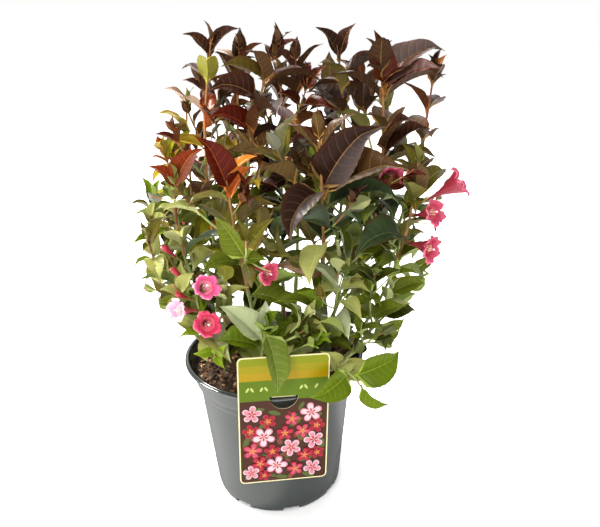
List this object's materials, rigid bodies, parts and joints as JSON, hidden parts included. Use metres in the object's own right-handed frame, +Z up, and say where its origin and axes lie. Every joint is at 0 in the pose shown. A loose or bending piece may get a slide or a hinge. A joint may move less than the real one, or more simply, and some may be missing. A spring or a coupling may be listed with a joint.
{
  "type": "potted weigela shrub",
  "caption": "Young purple-leaved weigela in flower: upright leafy stems with opposite pointed leaves and pink trumpets, in a round nursery pot with a hanging plant label.",
  "frame": {"origin": "centre of the pot's flat underside, on the surface it stands on", "axes": "+Z up along the stems, -Y towards the viewer and the hanging label, +X to the viewer's right"},
  "size_m": [0.3189, 0.2584, 0.486],
  "materials": {
    "pot_plastic": "satin grey, slightly green",
    "compost": "rough damp bark compost",
    "label_card": "satin printed plastic card",
    "bark": "thin young bark, matt",
    "plum_foliage": "dark plum leaves, soft sheen",
    "bronze_foliage": "bronze-green leaves, soft sheen",
    "copper_foliage": "copper and yellow-green leaves, soft sheen",
    "green_foliage": "fresh green leaves, soft sheen"
  },
  "bodies": {
    "root": {"pot": "pot_plastic", "compost": "compost", "label": "label_card", "stem_centre_front": "bark", "stem_right_high": "bark", "stem_right_top": "bark", "stem_centre_high": "bark", "stem_centre_back": "bark", "stem_centre_left": "bark", "stem_left_centre": "bark", "stem_left_high": "bark", "stem_left_outer": "bark", "stem_left_front": "bark", "stem_left_far": "bark", "stem_centre_mid": "bark", "stem_right_mid": "bark", "stem_right_low": "bark", "stem_front_right": "bark", "stem_front_low_right": "bark", "stem_front_low_left": "bark", "stem_left_low": "bark", "stem_back_left": "bark", "stem_back_centre": "bark", "stem_back_right": "bark", "stem_back_low_left": "bark", "stem_back_low_right": "bark", "foliage_centre_front": "plum_foliage", "foliage_right_high": "plum_foliage", "foliage_right_top": "plum_foliage", "foliage_centre_high": "plum_foliage", "foliage_centre_back": "plum_foliage", "foliage_centre_left": "plum_foliage", "foliage_left_centre": "plum_foliage", "foliage_left_high": "plum_foliage", "foliage_left_outer": "copper_foliage", "foliage_left_front": "copper_foliage", "foliage_left_far": "copper_foliage", "foliage_centre_mid": "plum_foliage", "foliage_right_mid": "plum_foliage", "foliage_right_low": "green_foliage", "foliage_front_right": "green_foliage", "foliage_front_low_right": "green_foliage", "foliage_front_low_left": "green_foliage", "foliage_left_low": "green_foliage", "foliage_back_left": "bronze_foliage", "foliage_back_centre": "bronze_foliage", "foliage_back_right": "plum_foliage", "foliage_back_low_left": "green_foliage", "foliage_back_low_right": "green_foliage"}
  },
  "joints": []
}
